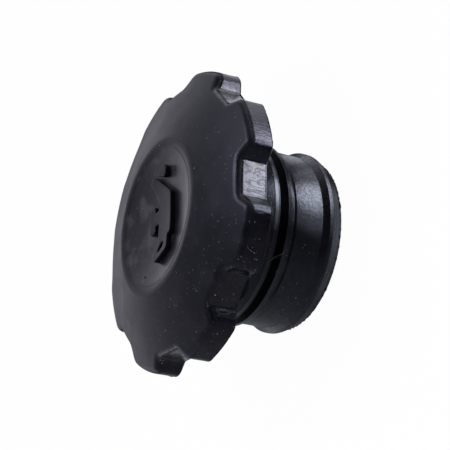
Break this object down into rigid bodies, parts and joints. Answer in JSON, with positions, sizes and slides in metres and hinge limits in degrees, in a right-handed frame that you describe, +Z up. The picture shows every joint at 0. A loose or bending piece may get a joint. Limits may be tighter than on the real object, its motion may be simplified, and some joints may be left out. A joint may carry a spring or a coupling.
{
  "type": "oil filler cap",
  "caption": "Push-in rubber oil filler cap: domed grip head with finger notches and a shallow dish, on a hollow ribbed plug with a seat groove.",
  "frame": {"origin": "centre of the plug's open end, on the surface the cap stands on", "axes": "+Z up along the cap's axis from the plug's end to the domed head; +X through the middle of one grip lobe"},
  "size_m": [0.07, 0.07, 0.0372],
  "materials": {
    "rubber": "satin black moulded rubber with light dust"
  },
  "bodies": {
    "root": {"cap": "rubber"}
  },
  "joints": []
}
